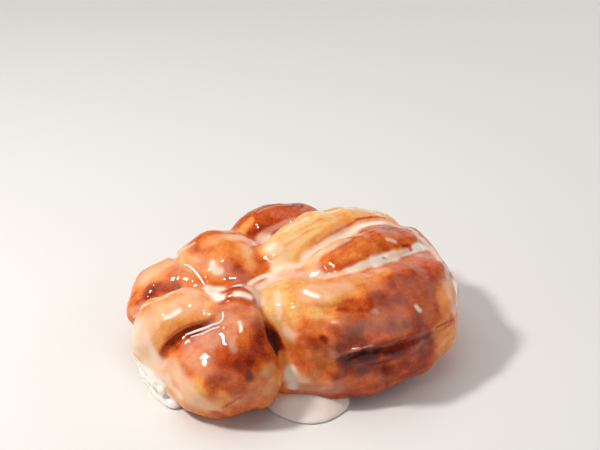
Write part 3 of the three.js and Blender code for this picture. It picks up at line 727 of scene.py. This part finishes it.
def skin_values(points):
    """How brown, glazed and grey the skin is at each point, painted shade and painted highlights included,
    and the relief of its crust.
    """
    shares, places = strand_shares(points)
    height = points[:, 2]
    wrinkle = wrinkles(points, shares, places)
    valley = np.clip(-(strand_union(points, VALLEY_BLEND) - swelling(points)) / VALLEY_DEPTH, 0, 1)

    brown = mixed("brown", shares, places) + FOOT_BROWN * smooth_step(9, 2, height)
    brown = draw_strokes(BROWN_STROKES, brown, points)
    brown = brown + BROWN_PATCHES * noise_sum(points, PATCHY_NOISE) + BROWN_WRINKLES * wrinkle
    glaze = mixed("glaze", shares, places) + VALLEY_GLAZE * valley * smooth_step(25, 35, height)
    glaze = draw_strokes(GLAZE_STROKES, glaze, points)
    glaze = glaze + GLAZE_CLOUDS * noise_sum(points, CLOUDY_NOISE) + GLAZE_WRINKLES * wrinkle
    grey = draw_strokes(GREY_STROKES, np.zeros(len(points)), points)
    grey = grey * (0.7 + 0.5 * lattice_noise(points, 1.2, 51))

    relief = WRINKLE_HEIGHT * wrinkle + LUMP_HEIGHT * lattice_noise(points, 2.6, 41)
    relief = relief + GRAIN_HEIGHT * lattice_noise(points, 1.3, 42) * (1 - np.clip(glaze, 0, 1))
    # brown also holds the painted shade, and glaze the painted highlights and rim light
    values = dict(brown=brown, glaze=glaze, grey=grey)
    return {name: np.clip(value, 0, 1) for name, value in values.items()}, relief


# Materials


def set_inputs(node, values):
    for name, value in values.items():
        node.inputs[name].default_value = value


def new_material(name, values):
    """A material with its shader's inputs set by name."""
    material = bpy.data.materials.new(name)
    material.use_nodes = True
    tree = material.node_tree
    shader = tree.nodes["Principled BSDF"]
    set_inputs(shader, values)
    return material, tree, shader


def add_node(tree, kind, **values):
    """A node with its properties or input values set by name."""
    node = tree.nodes.new(kind)
    for key, value in values.items():
        if key in node.inputs:
            node.inputs[key].default_value = value
        else:
            setattr(node, key, value)
    return node


def attribute(tree, name):
    return add_node(tree, "ShaderNodeAttribute", attribute_name=name).outputs["Fac"]


def feed(tree, sockets, values):
    """Gives each socket a number, a colour or another node's output."""
    for socket, value in zip(sockets, values):
        if isinstance(value, tuple):
            socket.default_value = (*value, 1)
        elif isinstance(value, (int, float)):
            socket.default_value = value
        else:
            tree.links.new(value, socket)


def math_node(tree, operation, a, b):
    node = add_node(tree, "ShaderNodeMath", operation=operation)
    feed(tree, node.inputs, (a, b))
    return node.outputs[0]


def mix_colour(tree, factor, a, b):
    node = add_node(tree, "ShaderNodeMix", data_type="RGBA")
    feed(tree, (node.inputs["Factor"], node.inputs[6], node.inputs[7]), (factor, a, b))
    return node.outputs[2]


def noise(tree, scale, detail, distortion=0.0):
    """A noise texture laid through the piece, with scale patches along a metre."""
    node = add_node(tree, "ShaderNodeTexNoise", Scale=scale, Detail=detail, Distortion=distortion)
    place = add_node(tree, "ShaderNodeTexCoord")
    tree.links.new(place.outputs["Object"], node.inputs["Vector"])
    return node.outputs["Fac"]


def shift(tree, texture, most):
    """A texture as a shift either way, by half of most."""
    return math_node(tree, "MULTIPLY", math_node(tree, "SUBTRACT", texture, 0.5), most)


def colour_ramp(tree, factor, stops):
    node = add_node(tree, "ShaderNodeValToRGB")
    ramp = node.color_ramp
    while len(ramp.elements) < len(stops):
        ramp.elements.new(0.5)
    for element, (position, colour) in zip(ramp.elements, stops):
        element.position = position
        element.color = (*colour, 1)
    tree.links.new(factor, node.inputs["Fac"])
    return node.outputs["Color"]


def add_bump(tree, height, normal, strength, distance):
    bump = add_node(tree, "ShaderNodeBump", Strength=strength, Distance=distance)
    tree.links.new(height, bump.inputs["Height"])
    tree.links.new(bump.outputs["Normal"], normal)


# Crust colours from pale gold to almost burnt; the dark end also renders the painted shade
CRUST = [
    (0.0, (0.86, 0.53, 0.20)),
    (0.2, (0.80, 0.35, 0.09)),
    (0.4, (0.72, 0.20, 0.04)),
    (0.55, (0.57, 0.105, 0.018)),
    (0.7, (0.38, 0.044, 0.009)),
    (0.85, (0.18, 0.018, 0.007)),
    (1.0, (0.04, 0.009, 0.007)),
]
# Glaze colours from a thin film to thick; the white end also renders the painted highlights and rim light
FILM = [
    (0.3, (0.77, 0.42, 0.31)),
    (0.6, (0.86, 0.65, 0.49)),
    (1.0, (0.94, 0.88, 0.80)),
]
SMUDGE = (0.15, 0.085, 0.065)
# Wet dough gleams only through its clear coat.
WET_DOUGH = {
    "Specular IOR Level": 0.0,
    "Subsurface Weight": 0.25,
    "Subsurface Radius": (1.0, 0.4, 0.2),
    "Subsurface Scale": 2.0 * MM,
    "Coat Weight": 1.0,
    "Coat Roughness": 0.06,
    "Coat IOR": 1.33,
}
SUGAR_GLAZE = {
    "Roughness": 0.25,
    "Subsurface Weight": 0.6,
    "Subsurface Radius": (1.0, 0.7, 0.5),
    "Subsurface Scale": 3.0 * MM,
    "Coat Weight": 1.0,
    "Coat Roughness": 0.05,
}
PALE_FLOOR = {"Base Color": (0.78, 0.77, 0.75, 1), "Roughness": 0.6}
MOTTLE_SCALE = 500
SPECKLE_SCALE = 1500
CLOUD_SCALE = 160
MOTTLE_SHIFT = 0.3  # how much mottle and speckle change how brown the crust is
SPECKLE_SHIFT = 0.25
NO_FILM = 0.1  # glaze that is too thin to show
FILM_POWER = 1.3
FILM_COVER = 1.35
SMUDGE_COVER = 0.75
GLAZED_ROUGHNESS = 0.35
BARE_ROUGHNESS = 0.15  # on top of that


def dough_colour(tree, mottle, speckle, glaze):
    """The crust under its film of glaze, with grey smudges over both; the brown and glaze values also carry
    the painted shade and painted highlights.
    """
    shifts = shift(tree, mottle, MOTTLE_SHIFT), shift(tree, speckle, SPECKLE_SHIFT)
    freckles = math_node(tree, "ADD", *shifts)
    crust = colour_ramp(tree, math_node(tree, "ADD", attribute(tree, "brown"), freckles), CRUST)
    wet = math_node(tree, "MAXIMUM", math_node(tree, "SUBTRACT", glaze, NO_FILM), 0.0)
    cover = math_node(tree, "MULTIPLY", math_node(tree, "POWER", wet, FILM_POWER), FILM_COVER)
    glazed = mix_colour(tree, cover, crust, colour_ramp(tree, glaze, FILM))
    grey = math_node(tree, "MULTIPLY", attribute(tree, "grey"), SMUDGE_COVER)
    return mix_colour(tree, grey, glazed, SMUDGE)


def glazed_dough_material():
    material, tree, shader = new_material("glazed_dough", WET_DOUGH)
    mottle = noise(tree, MOTTLE_SCALE, detail=4.0, distortion=0.4)
    speckle = noise(tree, SPECKLE_SCALE, detail=3.0)
    glaze = attribute(tree, "glaze")
    tree.links.new(dough_colour(tree, mottle, speckle, glaze), shader.inputs["Base Color"])

    bare = math_node(tree, "SUBTRACT", 1.0, glaze)
    rougher = math_node(tree, "MULTIPLY", bare, BARE_ROUGHNESS)
    roughness = math_node(tree, "ADD", GLAZED_ROUGHNESS, rougher)
    tree.links.new(roughness, shader.inputs["Roughness"])
    parts = math_node(tree, "MULTIPLY", mottle, 0.6), math_node(tree, "MULTIPLY", speckle, 0.4)
    crust_relief = math_node(tree, "ADD", *parts)
    add_bump(tree, crust_relief, shader.inputs["Normal"], strength=0.35, distance=0.25 * MM)
    add_bump(tree, mottle, shader.inputs["Coat Normal"], strength=0.3, distance=0.12 * MM)
    return material


def glaze_material(name, thin, thick):
    """Sugar glaze, cloudy between its colours where it is thin and thick."""
    material, tree, shader = new_material(name, SUGAR_GLAZE)
    colour = mix_colour(tree, noise(tree, CLOUD_SCALE, detail=2.0), thin, thick)
    tree.links.new(colour, shader.inputs["Base Color"])
    return material


# Pieces


def add_object(name, data):
    """A new object in the scene for a mesh, light or camera."""
    made = bpy.data.objects.new(name, data)
    bpy.context.scene.collection.objects.link(made)
    return made


def mesh_piece(name, points, patches, material, **values):
    """A smooth-shaded mesh object from points in millimetres, and the values at each point."""
    mesh = bpy.data.meshes.new(name)
    placed = ((points - BOX_MIDDLE) * MM).astype(np.float32)
    mesh.vertices.add(len(placed))
    mesh.vertices.foreach_set("co", placed.ravel())
    mesh.loops.add(patches.size)
    mesh.loops.foreach_set("vertex_index", patches.astype(np.int32).ravel())
    mesh.polygons.add(len(patches))
    mesh.polygons.foreach_set("loop_start", np.arange(0, patches.size, 4, dtype=np.int32))
    mesh.polygons.foreach_set("use_smooth", np.ones(len(patches), bool))
    for key, value in values.items():
        mesh.attributes.new(key, "FLOAT", "POINT").data.foreach_set("value", value.astype(np.float32))
    mesh.update()
    mesh.validate()
    mesh.materials.append(material)
    return add_object(name, mesh)


RELIEF_FROM = 0.3  # height from which the skin has relief,
RELIEF_WHOLE = 3.0  # and from which it has all of it


def make_dough():
    points, patches, outward = find_skin(dough_distance, GRID_LOW, GRID_HIGH, DOUGH_CELL)
    values, relief = skin_values(points)
    relief = relief * smooth_step(RELIEF_FROM, RELIEF_WHOLE, points[:, 2])
    points = points + relief[:, None] * outward
    points[:, 2] = np.maximum(points[:, 2], 0)
    piece = mesh_piece("dough", points, patches, glazed_dough_material(), **values)
    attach(piece, "root")
    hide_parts("fritter")


GLAZE_FOOT = 0.05  # how high above the ground the glaze is cut off flat

# The pool of glaze that ran out under the front: flattened blobs, as path, radius and height over width.
POOL = [
    ([(0, -31, 0.4), (6.5, -31.5, 0.4), (11, -30.5, 0.4)], (7, 10.5, 7), 0.3),
    ([(-4, -30, 2), (6, -31, 2.5), (15, -29, 2)], (4, 4.5, 4), 0.9),
]
# Threads and beads of glaze standing on the skin, white so that they also paint the highlight lines along
# the glaze ridges: path and radius.
THREADS = dict(
    bun_bead=([(-40.6, 10.3, 33.5), (-37, 7, 33.6), (-32.7, 0.5, 31.4)], (0.3, 0.5, 0.4)),
    bulb_line_1=([(-37.6, -26.2, 28.5), (-32.2, -26.2, 30.8), (-26.4, -27.3, 34.3)], (0.3, 0.5, 0.4)),
    bulb_line_2=([(-36.2, -26.9, 27.8), (-30.8, -27.6, 30.6), (-25.6, -28.8, 34)], (0.25, 0.45, 0.35)),
    hook=([(-26.4, -27.3, 34.3), (-24.5, -26.2, 35.2), (-24.6, -23.1, 36.2)], (0.4, 0.5, 0.4)),
)
THREADS_SUNK = 0.25
# Ragged lace of glaze at the left foot, a row of drops on the dough and one on the ground: path, smallest
# and largest drop, and height over width.
LACE_ROWS = [
    ([(-57, -12, 8), (-53.5, -21.5, 7.5), (-46, -30, 6)], 0.8, 1.8, 1.0),
    ([(-52.5, -13, 1.2), (-48.5, -22.5, 1.2), (-41.5, -31.5, 1.2)], 1.6, 3.2, 0.6),
]
LACE_DROPS = 22  # in each row
LACE_SCATTER = 0.8
DROP_LENGTH = 0.01  # a drop is a very short line


def pool_lines():
    """The pool's lines of glaze, each with its beads, radius and height over width."""
    return [(bezier(path, STRAND_STEPS), radius, flat) for path, radius, flat in POOL]


def thread_lines():
    laid = laid_on_skin(folded_distance, [path for path, _ in THREADS.values()], THREADS_SUNK)
    return [(beads, radius, 1.0) for beads, (_, radius) in zip(laid, THREADS.values())]


def lace_lines():
    rng = np.random.default_rng(5)
    lines = []
    for path, smallest, largest, flat in LACE_ROWS:
        for place in bezier(path, LACE_DROPS):
            centre = place + rng.uniform(-1, 1, 3) * LACE_SCATTER
            size = rng.uniform(smallest, largest)
            lines.append((np.array([centre, centre + DROP_LENGTH]), (size,) * 3, flat))
    return lines


def glaze_distance(lines, reach, blend, edge):
    """The distance to lines of glaze run together, cut off flat with a rounded edge."""

    def distance(points):
        nearest = np.full(len(points), FAR)
        for line in lines:
            gap, _ = curve_distance(points, *line, reach)
            nearest = smooth_min(nearest, gap, blend)
        return smooth_max(nearest, GLAZE_FOOT - points[:, 2], edge)

    return distance


def make_glaze():
    # the pool's glaze is pinker and darker than white glaze: painted shade from the dough that overhangs it
    shaded_rosy = glaze_material("shaded_rosy_glaze", (0.86, 0.7, 0.62), (0.95, 0.86, 0.8))
    milky = glaze_material("milky_glaze", (0.88, 0.78, 0.68), (0.93, 0.88, 0.82))
    # the threads' glaze is almost pure white, so that they also paint highlight lines
    highlight_white = glaze_material("white_glaze_for_highlights", (0.95, 0.9, 0.84), (0.97, 0.95, 0.92))
    # Lines, their reach, how broadly they melt and how soft the edge is; box, size of cells and material
    pieces = {
        "glaze_pool": (
            pool_lines(), STRAND_REACH, 5.0, 0.8, ((-14, -46, -0.5), (28, -22, 8)), GLAZE_CELL, shaded_rosy),
        "glaze_threads_as_highlights": (
            thread_lines(), SMALL_REACH, 0.4, 0.5, ((-60, -32, 19), (-22, 13, 38)), THREAD_CELL, highlight_white),
        "glaze_lace": (
            lace_lines(), SMALL_REACH, 1.6, 0.5, ((-63, -46, -0.5), (-32, -2, 14)), GLAZE_CELL, milky),
    }
    for name, (*shape, box, cell, material) in pieces.items():
        points, patches, _ = find_skin(glaze_distance(*shape), *np.array(box, float), cell)
        piece = mesh_piece(name, points, patches, material)
        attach(piece, "root")


# Stage

PLAIN_LIGHT = (1.0, 0.97, 0.94)
# Square lights that face the fritter: place, size, power and colour, and whether the glaze mirrors it.
LIGHTS = {
    "key": ((-0.365, -0.07, 0.51), 0.075, 2.85, (1.0, 0.96, 0.91), True),
    "overhead": ((-0.05, 0.1, 0.62), 0.6, 1.52, (1.0, 0.98, 0.95), False),
    "fill": ((0.4, -0.55, 0.25), 0.5, 0.85, PLAIN_LIGHT, False),
    "right_rim": ((0.4, 0.85, 0.1), 0.8, 1.4, PLAIN_LIGHT, True),
    "right_side": ((0.65, 0.3, 0.18), 0.4, 1.9, PLAIN_LIGHT, False),
    "left_fill": ((-0.55, -0.3, 0.12), 0.4, 0.65, (1.0, 0.95, 0.92), False),
}
LIT_PLACE = Vector((0, 0, 0.02))
SKY = {"Color": (0.9, 0.93, 1.0, 1), "Strength": 0.15}


def add_light(name, place, size, power, colour, mirrored):
    data = bpy.data.lights.new(name, "AREA")
    data.size = size
    data.energy = power
    data.color = colour
    light = add_object(name, data)
    light.location = place
    light.visible_glossy = mirrored
    light.rotation_mode = "QUATERNION"
    light.rotation_quaternion = (LIT_PLACE - Vector(place)).to_track_quat("-Z", "Y")


def add_floor():
    mesh = bpy.data.meshes.new("floor")
    far = 2.0
    mesh.from_pydata([(-far, -far, 0), (far, -far, 0), (far, far, 0), (-far, far, 0)], [], [(0, 1, 2, 3)])
    material, _, _ = new_material("pale_floor", PALE_FLOOR)
    mesh.materials.append(material)
    add_object("floor", mesh)


def add_stage():
    for name, light in LIGHTS.items():
        add_light(name, *light)
    scene = bpy.context.scene
    scene.world = bpy.data.worlds.new("studio")
    scene.world.use_nodes = True
    set_inputs(scene.world.node_tree.nodes["Background"], SKY)
    add_floor()
    scene.view_settings.view_transform = "Standard"


# The camera looks down at the fritter from in front.
LENS = 85.0
SENSOR = 36.0
LOOK_DOWN = math.radians(37)  # the line of sight to the point looked at, below the horizontal
LOOKED_AT = np.array([0.0, -4.0, 20.0]) - BOX_MIDDLE  # millimetres
PICTURE_SCALE = 2.69  # picture points for each millimetre at that point
PICTURE_WIDTH = 600
BELOW_MIDDLE = 91  # picture points down from the picture's middle to that point
ASIDE = 7.5  # and to the left


def add_camera():
    focal = LENS / SENSOR * PICTURE_WIDTH
    distance = focal / PICTURE_SCALE
    sight = np.array([0, math.cos(LOOK_DOWN), -math.sin(LOOK_DOWN)])
    place = LOOKED_AT - sight * distance + (ASIDE / PICTURE_SCALE, 0, 0)
    data = bpy.data.cameras.new("camera")
    data.lens = LENS
    data.sensor_width = SENSOR
    data.clip_start = 0.01
    camera = add_object("camera", data)
    camera.location = place * MM
    tilt = LOOK_DOWN - math.atan(BELOW_MIDDLE / focal)
    camera.rotation_euler = (math.pi / 2 - tilt, 0, 0)
    bpy.context.scene.camera = camera


make_dough()
make_glaze()
add_stage()
add_camera()
